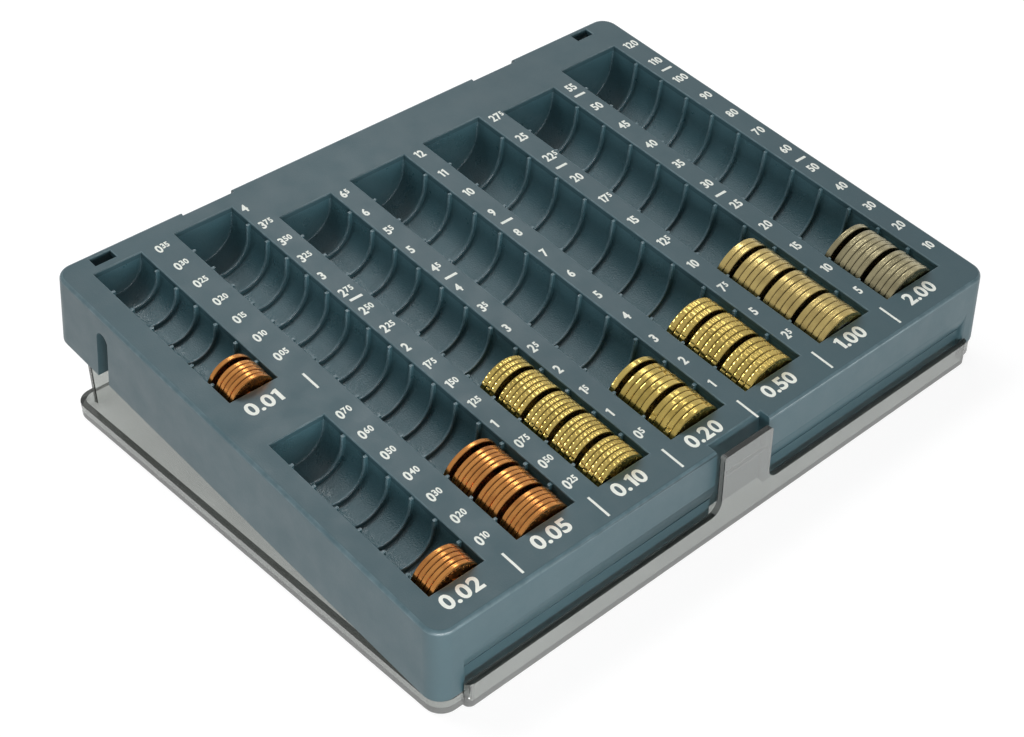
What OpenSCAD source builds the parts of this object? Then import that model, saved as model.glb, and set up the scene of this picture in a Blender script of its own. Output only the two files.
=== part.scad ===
// Coin counting tray, standing tilted on its own lid, with coins in the front cells.
// Millimetres, +Z up, the front of the tray looks along -Y.
// The tray is drawn in its own frame (bottom front edge on the X axis) and tilted into place.

/* [Coins] */
// Diameter of the coins worth 1
dia_1 = 16.25; // [15:0.05:18]
// Diameter of the coins worth 2
dia_2 = 18.75; // [17:0.05:21]
// Diameter of the coins worth 5
dia_5 = 21.25; // [19:0.05:24]
// Diameter of the coins worth 10
dia_10 = 19.75; // [18:0.05:22]
// Diameter of the coins worth 20
dia_20 = 22.25; // [20:0.05:25]
// Diameter of the coins worth 50
dia_50 = 24.25; // [22:0.05:27]
// Diameter of the coins worth 100
dia_100 = 23.25; // [21:0.05:26]
// Diameter of the coins worth 200
dia_200 = 25.75; // [23:0.05:29]
// Thickness of the coins worth 1
thick_1 = 1.67; // [1.4:0.01:2]
// Thickness of the coins worth 2
thick_2 = 1.67; // [1.4:0.01:2]
// Thickness of the coins worth 5
thick_5 = 1.67; // [1.4:0.01:2]
// Thickness of the coins worth 10
thick_10 = 1.93; // [1.6:0.01:2.3]
// Thickness of the coins worth 20
thick_20 = 2.14; // [1.8:0.01:2.5]
// Thickness of the coins worth 50
thick_50 = 2.38; // [2:0.01:2.8]
// Thickness of the coins worth 100
thick_100 = 2.33; // [2:0.01:2.8]
// Thickness of the coins worth 200
thick_200 = 2.2; // [1.9:0.01:2.6]
// Bare gap between two neighbouring coins of a stack
coin_gap = 0.06; // [0.04:0.01:0.1]
// Bevel on the rim of a coin
coin_bevel = 0.2; // [0.1:0.05:0.4]
// Height of the coins above the deck
coin_proud = 4.2; // [3:0.1:6]

/* [Cells] */
// Coins that fill one cell
coins_per_cell = 5; // [4:1:6]
// Spare length in each cell
stack_play = 0.66; // [0.64:0.02:1]
// Spare width of a trough over its coin
slot_clear = 1; // [0.8:0.1:2]
// Gap under the coins
floor_gap = 0.3; // [0.3:0.05:0.5]
// Cells for the coins worth 1
cells_1 = 7; // [4:1:8]
// Cells for the coins worth 2
cells_2 = 7; // [4:1:8]
// Cells for the coins worth 5
cells_5 = 16; // [8:1:18]
// Cells for the coins worth 10
cells_10 = 13; // [8:1:15]
// Cells for the coins worth 20
cells_20 = 12; // [8:1:14]
// Cells for the coins worth 50
cells_50 = 11; // [8:1:13]
// Cells for the coins worth 100
cells_100 = 11; // [8:1:13]
// Cells for the coins worth 200
cells_200 = 12; // [8:1:14]
// Coins worth 1 in their last cell in use
rest_1 = 1; // [1:1:4]
// Coins worth 5 in their last cell in use
rest_5 = 1; // [1:1:4]
// Coins worth 10 in their last cell in use
rest_10 = 3; // [1:1:4]
// Coins worth 20 in their last cell in use
rest_20 = 1; // [1:1:4]
// Coins worth 50 in their last cell in use
rest_50 = 3; // [1:1:4]
// Coins worth 100 in their last cell in use
rest_100 = 2; // [1:1:4]
// Coins worth 200 in their last cell in use
rest_200 = 1; // [1:1:4]

/* [Troughs] */
// Wall of a trough
trough_t = 1.6; // [1.2:0.1:2]
// Thickness of a rib along the trough
rib_t = 1; // [0.8:0.1:1.4]
// Height of a rib off the trough wall
rib_h = 1.2; // [0.8:0.1:1.6]
// Depth of the rib tops under the deck surface
rib_drop = 0.6; // [0.3:0.1:1.5]

/* [Tray deck] */
// Thickness of the deck
deck_t = 2; // [1.6:0.1:2.4]
// Deck between its left edge and the first column
margin_left = 8.1; // [7:0.1:12]
// Deck between the last trough and its right edge
margin_right = 10.9; // [8:0.1:14]
// Printed band beside the first column
band_first = 11.9; // [9:0.1:15]
// Printed band between the other troughs
band = 9.1; // [8:0.1:12]
// Deck in front of the troughs
front_strip = 12.46; // [11:0.01:16]
// Deck behind the longest trough
back_strip = 7.6; // [6.5:0.1:12]
// Deck between the two troughs of the first column
column_gap = 20; // [14:0.5:24]
// Length of the rectangular holes at the back corners
corner_hole_l = 7.6; // [4:0.1:9]
// Width of the rectangular holes at the back corners
corner_hole_w = 3.8; // [2:0.1:3.8]
// Distance from the side of the deck to a back corner hole
corner_hole_side = 12; // [9:0.1:20]
// Distance from the back of the deck to a back corner hole
corner_hole_back = 2; // [1.6:0.1:2.4]

/* [Tray skirt] */
// Wall of the skirt
wall_t = 2; // [1.6:0.1:2.4]
// Skirt below the deepest trough
skirt_drop = 2.15; // [1:0.05:5]
// Upright corner radius
corner_r = 6; // [5:0.25:8]
// Rounding of the top edge
edge_r = 1.4; // [1:0.1:2.8]
// Spread of the side walls from top to bottom
side_flare = 0.7; // [0.2:0.1:1.2]
// Depth of the recess along the foot of the front wall
rebate_d = 1.8; // [1.2:0.1:3]
// Step at the top of the straight part of that recess
rebate_ledge = 0.25; // [0.1:0.05:0.4]
// Height of the straight part of that recess
rebate_h = 7; // [5:0.1:9]
// Radius of the lip above that recess
lip_r = 12; // [8:0.5:16]
// Wall left plain at each end of that recess
rebate_inset = 8; // [6:0.1:11]
// Width of the notch for the lid tab
notch_w = 23; // [23:0.1:26]
// Depth of the notch for the lid tab
notch_d = 3.9; // [3:0.1:5]
// Width of the slots in the side walls
side_slot_w = 5.6; // [3:0.1:7]
// Height of the slots in the side walls
side_slot_h = 19; // [12:0.5:20]
// Distance from the back of the tray to the side slots
side_slot_back = 23.6; // [18:0.1:40]
// Thickness of the webs and gussets under the deck
web_t = 2; // [1.5:0.1:2.5]
// Length of the webs behind the side slots
web_l = 4; // [2:0.1:4.5]
// Length of the gussets that rest on the lid
gusset_l = 9; // [7:0.1:14]
// Width of the two finger recesses in the back wall
finger_w = 20; // [12:0.5:26]
// Depth of the finger recesses
finger_d = 1.8; // [0.5:0.1:2.2]
// Height of the finger recesses
finger_h = 12; // [6:0.5:18]
// Distance from the middle of the tray to a finger recess
finger_x = 62; // [40:0.5:80]

/* [Lid] */
// Tilt of the tray on the lid in degrees
tilt = 8; // [6:0.25:9]
// Panel of the lid
panel_t = 2; // [1.5:0.1:2.6]
// Height of the low rim
rim_h = 5.9; // [5:0.1:8]
// Thickness of the rim
rim_t = 2; // [1.5:0.1:2.6]
// Rounding of the lower edge
lid_edge_r = 1.2; // [0.6:0.1:1.4]
// Upright corner radius of the lid
lid_corner_r = 6; // [4.5:0.25:8]
// Step of the front wall ahead of the rim
front_step = 2.4; // [2.2:0.1:3]
// Thickness of the front wall and the tab
front_t = 2; // [1.6:0.1:2]
// Height of the front wall
front_h = 9.5; // [8:0.1:10]
// Distance from the side of the lid to the end of the front wall
front_inset = 8.3; // [7.5:0.1:12]
// Width of the tab
tab_w = 21.2; // [16:0.1:21.2]
// Height of the tab
tab_h = 30.5; // [24:0.1:31]
// Radius at the foot of the tab
tab_foot_r = 4; // [2:0.1:5]
// Radius at the top corners of the tab
tab_top_r = 1.2; // [1:0.1:4]
// Height of the catch bead on the tab
bead_z = 23; // [18:0.1:23]
// Radius of the catch bead
bead_r = 0.9; // [0.6:0.1:1.2]
// Thickness of the prop wall at the back
prop_t = 2; // [1.5:0.1:2.6]
// Distance from the back of the lid to the prop wall
prop_inset = 1.6; // [1:0.1:2.4]
// Distance from the side of the lid to the end of the prop wall
prop_side = 6.3; // [5:0.1:12]
// Bare gap where the tray rests on the lid
seat_gap = 0.1; // [0.05:0.01:0.15]

/* [Hidden] */
$fn = 64;
// Diameters, thicknesses and cells, from the smallest value to the largest
DIA = [dia_1, dia_2, dia_5, dia_10, dia_20, dia_50, dia_100, dia_200];
THICK = [thick_1, thick_2, thick_5, thick_10, thick_20, thick_50, thick_100, thick_200];
CELLS = [cells_1, cells_2, cells_5, cells_10, cells_20, cells_50, cells_100, cells_200];
LAST = len(DIA) - 1;

// Width, cell pitch and length of the opening of trough i
function slot_w(i) = DIA[i] + slot_clear;
function pitch(i) = coins_per_cell * THICK[i] + stack_play + rib_t;
function slot_l(i) = CELLS[i] * pitch(i) - rib_t;

// The two smallest coins share the first column
column_w = max(slot_w(0), slot_w(1));
second_left = margin_left + column_w + band_first;
function col_w(i) = i < 2 ? column_w : slot_w(i);
function col_left(i) = i < 2 ? margin_left : i == 2 ? second_left : col_left(i - 1) + slot_w(i - 1) + band;
top_w = col_left(LAST) + slot_w(LAST) + margin_right;
function slot_x(i) = col_left(i) + col_w(i) / 2 - top_w / 2;

// Heights in the tray frame: the skirt stands on z = 0, the deck surface is at tray_h
tray_h = max(DIA) - coin_proud + floor_gap + trough_t + skirt_drop;
deck_low = tray_h - deck_t;
function floor_z(i) = tray_h + coin_proud - DIA[i] - floor_gap;

// The front wall leans so that it stands upright once the tray is tilted
lean = tan(tilt);
front_top = (tray_h - edge_r) * lean;
slots_front = front_top + front_strip;
function slot_y(i) = i == 0 ? slots_front + slot_l(1) + column_gap : slots_front;
slots_back = max([for (i = [0 : LAST]) slot_y(i) + slot_l(i)]);
tray_back = slots_back + back_strip;
side_slot_y = tray_back - side_slot_back - side_slot_w;
finger_z = tray_h - finger_h;
rebate_w = top_w - 2 * (rebate_inset + rebate_d);

// The recess runs out upwards in one round lip
lip_angle = acos(1 - rebate_d / lip_r);
rebate_top = rebate_h + lip_r * sin(lip_angle);
function lip_point(a) = [lip_r - lip_r * cos(a), rebate_top - lip_r * sin(a)];

// The lid has the outline of the tray top
lid_w = top_w;
lid_d = tray_back - front_top;
front_w = lid_w - 2 * front_inset;
seat_z = rim_h + seat_gap;
prop_y = lid_d - prop_inset - prop_t;
prop_h = seat_z + prop_y * lean - seat_gap;
middle_y = (tray_back * cos(tilt) - front_step) / 2;
eps = 0.5;

COPPER = [0.69, 0.43, 0.23];
GOLD = [0.70, 0.60, 0.32];
TWO_TONE = [0.70, 0.65, 0.52];
TRAY = [0.33, 0.42, 0.46];
SMOKE = [0.62, 0.64, 0.62, 0.5];

// Puts a shape of the lid frame into the shared frame, lid front outline at y = 0
module on_lid() {
  translate([0, -middle_y, 0])
    children();
}

// Puts a shape of the tray frame into the shared frame
module on_tray() {
  translate([0, -middle_y, seat_z])
    rotate([tilt, 0, 0])
      children();
}

// Box centred on x, from y0 to y1 and z0 to z1
module bar(w, y0, y1, z0, z1) {
  translate([-w / 2, y0, z0])
    cube([w, y1 - y0, z1 - z0]);
}

// Copies a shape to the left and the right
module both_sides() {
  children();
  mirror([1, 0, 0])
    children();
}

// Flat outline with round corners, centred on x, front edge at y = 0
module outline(w, d, r) {
  translate([-w / 2 + r, 0])
    square([w - 2 * r, d]);
  translate([-w / 2, r])
    square([w, d - 2 * r]);
  for (x = [-w / 2 + r, w / 2 - r])
    for (y = [r, d - r])
      translate([x, y])
        circle(r);
}

// Slab with round corners and a round lower edge
module slab(w, d, h, r, e) {
  translate([0, 0, e])
    linear_extrude(h - e)
      outline(w, d, r);
  translate([0, e, 0])
    linear_extrude(h - e)
      outline(w - 2 * e, d - 2 * e, r - e);
  for (x = [-w / 2 + r, w / 2 - r])
    for (y = [r, d - r])
      translate([x, y, e])
        rotate_extrude()
          translate([r - e, 0])
            circle(e);
  for (y = [e, d - e])
    translate([-w / 2 + r, y, e])
      rotate([0, 90, 0])
        cylinder(h = w - 2 * r, r = e);
  for (x = [-w / 2 + e, w / 2 - e])
    translate([x, r, e])
      rotate([-90, 0, 0])
        cylinder(h = d - 2 * r, r = e);
}

// Front wall with its tab, drawn flat in x and z
module front_outline() {
  translate([-front_w / 2, 0])
    square([front_w, front_h]);
  translate([-tab_w / 2, 0])
    square([tab_w, tab_h - tab_top_r]);
  translate([-tab_w / 2 + tab_top_r, 0])
    square([tab_w - 2 * tab_top_r, tab_h]);
  for (x = [-tab_w / 2 + tab_top_r, tab_w / 2 - tab_top_r])
    translate([x, tab_h - tab_top_r])
      circle(tab_top_r);
  difference() {
    translate([-tab_w / 2 - tab_foot_r, 0])
      square([tab_w + 2 * tab_foot_r, front_h + tab_foot_r]);
    for (x = [-tab_w / 2 - tab_foot_r, tab_w / 2 + tab_foot_r])
      translate([x, front_h + tab_foot_r])
        circle(tab_foot_r);
  }
}

module lid() {
  color(SMOKE)
    on_lid() {
      difference() {
        union() {
          slab(lid_w, lid_d, rim_h, lid_corner_r, lid_edge_r);
          translate([0, -front_step, 0])
            slab(front_w, front_step + 2 * lid_corner_r, rim_h, front_step, lid_edge_r);
        }
        translate([0, rim_t, panel_t])
          linear_extrude(rim_h)
            outline(lid_w - 2 * rim_t, lid_d - 2 * rim_t, lid_corner_r - rim_t);
        bar(front_w - 2 * rim_t, front_t - front_step, lid_corner_r, panel_t, 2 * rim_h);
        bar(front_w, -2 * front_step, front_t - front_step, lid_edge_r, 2 * rim_h);
      }
      intersection() {
        translate([0, front_t - front_step, 0])
          rotate([90, 0, 0])
            linear_extrude(front_t)
              front_outline();
        translate([0, -front_step, lid_edge_r])
          linear_extrude(tab_h)
            outline(front_w, front_step + 2 * lid_corner_r, front_step);
      }
      difference() {
        translate([-tab_w / 2 + tab_top_r, front_t - front_step, bead_z])
          rotate([0, 90, 0])
            cylinder(h = tab_w - 2 * tab_top_r, r = bead_r);
        bar(tab_w, -2 * front_step, front_t - front_step, bead_z - 2 * bead_r, bead_z + 2 * bead_r);
      }
      bar(lid_w - 2 * prop_side, prop_y, prop_y + prop_t, panel_t, prop_h);
    }
}

// Tray body without openings: rounded top, spread sides, leaning front
module shell_outer() {
  hull() {
    for (x = [-top_w / 2 + corner_r, top_w / 2 - corner_r])
      for (y = [front_top + corner_r, tray_back - corner_r])
        translate([x, y, tray_h - edge_r])
          rotate_extrude($fn = 48)
            translate([corner_r - edge_r, 0])
              circle(edge_r, $fn = 32);
    for (x = [-top_w / 2 - side_flare + corner_r, top_w / 2 + side_flare - corner_r])
      for (y = [corner_r, tray_back - corner_r])
        translate([x, y, 0])
          cylinder(h = eps, r = corner_r, $fn = 48);
  }
}

// Space inside the skirt, under the deck
module shell_inner() {
  inner_r = corner_r - wall_t;
  hull() {
    for (x = [-top_w / 2 + corner_r, top_w / 2 - corner_r])
      for (y = [deck_low * lean + corner_r, tray_back - corner_r])
        translate([x, y, deck_low - eps])
          cylinder(h = eps, r = inner_r, $fn = 48);
    for (x = [-top_w / 2 - side_flare + corner_r, top_w / 2 + side_flare - corner_r])
      for (y = [corner_r, tray_back - corner_r])
        translate([x, y, -eps])
          cylinder(h = eps, r = inner_r, $fn = 48);
  }
}

// Turns a shape of the tray frame upright, in line with the leaning front wall
module upright() {
  rotate([-tilt, 0, 0])
    children();
}

// Bar along the front wall, upright once the tray is tilted, cut off under the tray
module front_bar(w, y0, y1, z1) {
  difference() {
    upright()
      bar(w, y0, y1, -y1, z1);
    bar(2 * w, -2 * y1, 2 * y1, -2 * y1, 0);
  }
}

// Section of the recess: straight foot with a small ledge, overhang and round lip
module rebate_section() {
  steps = 12;
  polygon(concat(
    [[-rebate_d, -rebate_d], [rebate_d - rebate_ledge, -rebate_d], [rebate_d - rebate_ledge, rebate_h]],
    [for (k = [0 : steps]) lip_point(lip_angle * (1 - k / steps))],
    [[-rebate_d, rebate_top]]
  ));
}

// Right end of the recess from above: out of the face in one quarter turn, into the root in another
function end_curve(r, steps) = concat(
  [for (k = [0 : steps]) [rebate_w / 2 + r - r * sin(90 * k / steps), r - r * cos(90 * k / steps)]],
  [for (k = [1 : steps]) [rebate_w / 2 - r + r * cos(90 * k / steps), r + r * sin(90 * k / steps)]]
);

// Recess along the foot of the front wall, with soft ends
module rebate_cut() {
  right_end = end_curve(rebate_d / 2, 6);
  plan = concat([[right_end[0].x, -rebate_d]], right_end);
  last = len(plan) - 1;
  upright()
    intersection() {
      translate([-top_w / 2, 0, 0])
        rotate([90, 0, 90])
          linear_extrude(top_w)
            rebate_section();
      translate([0, 0, -rebate_d])
        linear_extrude(rebate_top + 2 * rebate_d)
          polygon(concat(plan, [for (k = [0 : last]) [-plan[last - k].x, plan[last - k].y]]));
    }
}

// Slot through one side wall, round at the top and open at the bottom
module side_slot_cut() {
  slot_r = side_slot_w / 2;
  reach = 2 * wall_t + side_flare;
  translate([top_w / 2 - wall_t - eps, side_slot_y, -eps])
    cube([reach, side_slot_w, side_slot_h - slot_r + eps]);
  translate([top_w / 2 - wall_t - eps, side_slot_y + slot_r, side_slot_h - slot_r])
    rotate([0, 90, 0])
      cylinder(h = reach, r = slot_r);
}

// Walls under the deck: webs at the side slots, pads behind the finger recesses, gussets on the prop wall
module shell_webs() {
  web_y = side_slot_y + side_slot_w;
  both_sides()
    translate([top_w / 2 - wall_t - web_l, web_y, 0])
      cube([web_l + wall_t / 2, web_t, deck_low + eps]);
  both_sides()
    translate([finger_x, tray_back - wall_t / 2, 0])
      bar(finger_w + 2 * wall_t, -finger_d - wall_t / 2, 0, finger_z - wall_t, deck_low + eps);
  for (i = [3 : LAST])
    translate([slot_x(i) - slot_w(i) / 2 - band / 2 - web_t / 2, tray_back - wall_t - gusset_l, 0])
      cube([web_t, gusset_l + wall_t / 2, deck_low + eps]);
}

module tray_shell() {
  color(TRAY)
    on_tray()
      difference() {
        union() {
          difference() {
            shell_outer();
            shell_inner();
          }
          front_bar(rebate_w + 2 * (rebate_d + wall_t), wall_t / 2, rebate_d + wall_t, rebate_top + wall_t);
          front_bar(notch_w + 2 * wall_t, wall_t / 2, notch_d + wall_t, deck_low + deck_t / 2);
          shell_webs();
        }
        rebate_cut();
        upright()
          bar(notch_w, -2 * notch_d, notch_d, -notch_d, 2 * tray_h);
        both_sides()
          side_slot_cut();
        for (i = [0 : LAST])
          translate([slot_x(i), 0, 0])
            bar(slot_w(i), slot_y(i), slot_y(i) + slot_l(i), deck_low - eps, tray_h + eps);
        both_sides()
          translate([top_w / 2 - corner_hole_side - corner_hole_l / 2, tray_back - corner_hole_back, 0])
            bar(corner_hole_l, -corner_hole_w, 0, deck_low - eps, tray_h + eps);
        both_sides()
          translate([finger_x, tray_back - finger_d, 0])
            bar(finger_w, 0, 2 * finger_d, finger_z, tray_h + eps);
      }
}

// U-shaped solid of trough i, grown by g, from y0 to y1, up to height z1
module trough_solid(i, g, y0, y1, z1) {
  r = slot_w(i) / 2 + g;
  axis_z = floor_z(i) + slot_w(i) / 2;
  translate([slot_x(i), y1, axis_z])
    rotate([90, 0, 0])
      linear_extrude(y1 - y0) {
        difference() {
          circle(r);
          translate([-2 * r, 0])
            square([4 * r, 2 * r]);
        }
        translate([-r, 0])
          square([2 * r, z1 - axis_z]);
      }
}

// Trough i: half-round shell under the deck with one rib between each two cells
module trough(i) {
  y0 = slot_y(i);
  y1 = y0 + slot_l(i);
  difference() {
    trough_solid(i, trough_t, y0 - trough_t, y1 + trough_t, deck_low);
    trough_solid(i, 0, y0, y1, tray_h);
  }
  for (k = [1 : CELLS[i] - 1]) {
    rib_y = y0 + k * pitch(i) - rib_t;
    difference() {
      trough_solid(i, 0, rib_y, rib_y + rib_t, tray_h - rib_drop);
      trough_solid(i, -rib_h, rib_y - eps, rib_y + rib_t + eps, tray_h);
    }
  }
}

// One coin of kind i, flat on z = 0
module coin(i) {
  t = THICK[i] - coin_gap;
  r = DIA[i] / 2;
  cylinder(h = coin_bevel, r1 = r - coin_bevel, r2 = r);
  translate([0, 0, coin_bevel])
    cylinder(h = t - 2 * coin_bevel, r = r);
  translate([0, 0, t - coin_bevel])
    cylinder(h = coin_bevel, r1 = r, r2 = r - coin_bevel);
}

// Stack of n coins of kind i on edge in the given cell, counted from the front
module stack(i, cell, n) {
  start = slot_y(i) + (cell - 1) * pitch(i) + (stack_play + coin_gap) / 2;
  on_tray()
    for (k = [0 : n - 1])
      translate([slot_x(i), start + k * THICK[i], floor_z(i) + floor_gap + DIA[i] / 2])
        rotate([-90, 0, 0])
          coin(i);
}

module trough_1() { color(TRAY) on_tray() trough(0); }
module trough_2() { color(TRAY) on_tray() trough(1); }
module trough_5() { color(TRAY) on_tray() trough(2); }
module trough_10() { color(TRAY) on_tray() trough(3); }
module trough_20() { color(TRAY) on_tray() trough(4); }
module trough_50() { color(TRAY) on_tray() trough(5); }
module trough_100() { color(TRAY) on_tray() trough(6); }
module trough_200() { color(TRAY) on_tray() trough(7); }

module coins_1_cell_1() { color(COPPER) stack(0, 1, coins_per_cell); }
module coins_1_cell_2() { color(COPPER) stack(0, 2, rest_1); }
module coins_2_cell_1() { color(COPPER) stack(1, 1, coins_per_cell); }
module coins_5_cell_1() { color(COPPER) stack(2, 1, coins_per_cell); }
module coins_5_cell_2() { color(COPPER) stack(2, 2, coins_per_cell); }
module coins_5_cell_3() { color(COPPER) stack(2, 3, coins_per_cell); }
module coins_5_cell_4() { color(COPPER) stack(2, 4, rest_5); }
module coins_10_cell_1() { color(GOLD) stack(3, 1, coins_per_cell); }
module coins_10_cell_2() { color(GOLD) stack(3, 2, coins_per_cell); }
module coins_10_cell_3() { color(GOLD) stack(3, 3, coins_per_cell); }
module coins_10_cell_4() { color(GOLD) stack(3, 4, coins_per_cell); }
module coins_10_cell_5() { color(GOLD) stack(3, 5, rest_10); }
module coins_20_cell_1() { color(GOLD) stack(4, 1, coins_per_cell); }
module coins_20_cell_2() { color(GOLD) stack(4, 2, coins_per_cell); }
module coins_20_cell_3() { color(GOLD) stack(4, 3, rest_20); }
module coins_50_cell_1() { color(GOLD) stack(5, 1, coins_per_cell); }
module coins_50_cell_2() { color(GOLD) stack(5, 2, coins_per_cell); }
module coins_50_cell_3() { color(GOLD) stack(5, 3, rest_50); }
module coins_100_cell_1() { color(TWO_TONE) stack(6, 1, coins_per_cell); }
module coins_100_cell_2() { color(TWO_TONE) stack(6, 2, coins_per_cell); }
module coins_100_cell_3() { color(TWO_TONE) stack(6, 3, coins_per_cell); }
module coins_100_cell_4() { color(TWO_TONE) stack(6, 4, rest_100); }
module coins_200_cell_1() { color(TWO_TONE) stack(7, 1, coins_per_cell); }
module coins_200_cell_2() { color(TWO_TONE) stack(7, 2, coins_per_cell); }
module coins_200_cell_3() { color(TWO_TONE) stack(7, 3, rest_200); }

lid();
tray_shell();
trough_1();
trough_2();
trough_5();
trough_10();
trough_20();
trough_50();
trough_100();
trough_200();
coins_1_cell_1();
coins_1_cell_2();
coins_2_cell_1();
coins_5_cell_1();
coins_5_cell_2();
coins_5_cell_3();
coins_5_cell_4();
coins_10_cell_1();
coins_10_cell_2();
coins_10_cell_3();
coins_10_cell_4();
coins_10_cell_5();
coins_20_cell_1();
coins_20_cell_2();
coins_20_cell_3();
coins_50_cell_1();
coins_50_cell_2();
coins_50_cell_3();
coins_100_cell_1();
coins_100_cell_2();
coins_100_cell_3();
coins_100_cell_4();
coins_200_cell_1();
coins_200_cell_2();
coins_200_cell_3();
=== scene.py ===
# %% [markdown]
# # A coin counting tray that stands on its lid
# The real thing is two plastic mouldings and a handful of loose coins. The blue-grey tray has eight
# half-round troughs, parted by ribs into cells of five coins. The smoked clear lid lies upside down under
# it and props the back of the tray up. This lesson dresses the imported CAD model: every piece is made in
# the CAD frame, in metres, and rides on the CAD body that carries it.

import math
from collections import namedtuple

import bmesh
import bpy
from mathutils import Matrix, Vector


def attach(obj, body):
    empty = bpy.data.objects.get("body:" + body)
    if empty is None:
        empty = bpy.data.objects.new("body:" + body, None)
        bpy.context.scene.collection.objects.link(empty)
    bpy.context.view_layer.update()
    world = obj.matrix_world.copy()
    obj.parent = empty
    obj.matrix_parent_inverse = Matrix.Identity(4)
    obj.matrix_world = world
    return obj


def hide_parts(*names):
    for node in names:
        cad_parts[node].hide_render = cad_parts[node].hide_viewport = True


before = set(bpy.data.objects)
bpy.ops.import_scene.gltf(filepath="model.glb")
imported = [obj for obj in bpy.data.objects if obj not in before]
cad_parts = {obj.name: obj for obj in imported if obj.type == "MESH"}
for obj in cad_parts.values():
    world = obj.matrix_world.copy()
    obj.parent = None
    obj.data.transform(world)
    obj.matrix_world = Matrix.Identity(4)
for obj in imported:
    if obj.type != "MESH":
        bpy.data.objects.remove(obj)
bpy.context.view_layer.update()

# %% [markdown]
# ## The tray's own frame
# The deck of the tray slopes by eight degrees, so its openings, ribs, coins and printed numbers are
# easiest to place in the tray's own frame: x across, y up the slope from the lower front edge, z square
# to the deck. One matrix takes that frame, in millimetres, to the shared frame in metres. The table holds
# what each row of the tray needs: the size of its coins, its number of cells, the middle of its trough
# across the tray, the front end of the trough, and how many coins stand in it.

# %% Sizes of the eight rows
MM = 0.001
TILT = math.radians(8)
TRAY_PLACE = (0, -0.08922192, 0.006)
TRAY_MM = Matrix.Translation(TRAY_PLACE) @ Matrix.Rotation(TILT, 4, "X") @ Matrix.Scale(MM, 4)
LID_MM = Matrix.Scale(MM, 4)
DECK_Z = 25.6
DECK_LOW = 23.6
FRONT_Y = 15.8611
COINS_PER_CELL = 5
CELL_PLAY = 0.66
RIB_THICKNESS = 1.0
SLOT_PLAY = 1.0
COIN_REACH = 29.5

Row = namedtuple("Row", "diameter thick cells x y coins")
ROWS = {
    1: Row(16.25, 1.67, 7, -101.35, 104.9311, 6),
    2: Row(18.75, 1.67, 7, -101.35, FRONT_Y, 5),
    5: Row(21.25, 1.67, 16, -68.45, FRONT_Y, 16),
    10: Row(19.75, 1.93, 13, -37.85, FRONT_Y, 23),
    20: Row(22.25, 2.14, 12, -6.75, FRONT_Y, 11),
    50: Row(24.25, 2.38, 11, 26.60, FRONT_Y, 13),
    100: Row(23.25, 2.33, 11, 60.45, FRONT_Y, 17),
    200: Row(25.75, 2.20, 12, 95.05, FRONT_Y, 11),
}


def slot_width(row):
    return row.diameter + SLOT_PLAY


def cell_pitch(row):
    return COINS_PER_CELL * row.thick + CELL_PLAY + RIB_THICKNESS


def rib_front(row, cell):
    """Where the rib behind a cell starts; behind the last cell the end wall stands there."""
    return row.y + cell * cell_pitch(row) - RIB_THICKNESS


def slot_end(row):
    return rib_front(row, row.cells)


def trough_floor(row):
    """Lower for large coins, so that all coins reach the same height over the deck."""
    return COIN_REACH - row.diameter


shell_top = max((TRAY_MM.inverted() @ v.co).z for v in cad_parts["tray_shell"].data.vertices)
print("deck measured at", round(shell_top, 3), "mm in the tray frame, expected", DECK_Z)

# %% [markdown]
# ## Camera
# The photograph was taken from the front left, well above the tray. Position and direction were fitted to
# the corners of the tray and the lid, so the camera is set as one matrix: its columns are right, up, back
# and place.


# %% Camera
def add_object(name, data):
    """A new object, linked to the scene."""
    made = bpy.data.objects.new(name, data)
    bpy.context.scene.collection.objects.link(made)
    return made


camera_data = bpy.data.cameras.new("camera")
camera_data.lens = 65.754
camera_data.sensor_width = 36.0
camera_data.clip_start = 0.01
camera_data.clip_end = 50
camera = add_object("camera", camera_data)
camera.matrix_world = Matrix((
    (0.73296953, 0.42620120, -0.53019638, -0.33112543),
    (-0.68024649, 0.45404170, -0.57542232, -0.34863616),
    (-0.00451442, 0.78243125, 0.62272061, 0.38770947),
    (0, 0, 0, 1),
))
bpy.context.scene.camera = camera
bpy.context.scene.view_settings.view_transform = "Standard"
print("camera", [round(v, 3) for v in camera.location], "lens", camera_data.lens)

# %% [markdown]
# ## Studio
# The tray was shot on a white sweep under soft boxes. The world is white near the horizon and dim
# overhead, most of all at the front, so that coins, ribs and edges get a light side and a dark side; a
# faint glow high at the back right lifts the deck. The floor is pale and keeps a faint shadow. To the
# camera, to gloss and to clear plastic, world and floor show brighter through the Light Path node,
# without more light on the tray. Four soft boxes do the rest: a broad key high behind the tray, which
# gloss does not mirror, a low box at the left, a low box in front, and a small one at the back right that
# draws the streaks on the coins.


# %% Node helpers
def add_node(tree, kind, **settings):
    made = tree.nodes.new(kind)
    for key, value in settings.items():
        setattr(made, key, value)
    return made


def feed(tree, value, socket):
    """Links an output socket, or sets a plain value."""
    if isinstance(value, bpy.types.NodeSocket):
        tree.links.new(value, socket)
    else:
        socket.default_value = value


def sums(tree, operation, a, b=0.0, clamp=False):
    """One Math node; a and b are sockets or numbers."""
    made = add_node(tree, "ShaderNodeMath", operation=operation, use_clamp=clamp)
    feed(tree, a, made.inputs[0])
    feed(tree, b, made.inputs[1])
    return made.outputs[0]


def scaled(tree, value, factor, shift, clamp=False):
    """value times factor plus shift, in one Math node."""
    made = sums(tree, "MULTIPLY_ADD", value, factor, clamp)
    made.node.inputs[2].default_value = shift
    return made


def seen_ray(tree):
    """1 for rays that show the background: from the camera, off gloss and through clear plastic."""
    path = add_node(tree, "ShaderNodeLightPath")
    both = sums(tree, "MAXIMUM", path.outputs["Is Camera Ray"], path.outputs["Is Glossy Ray"])
    return sums(tree, "MAXIMUM", both, path.outputs["Is Transmission Ray"])


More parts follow.
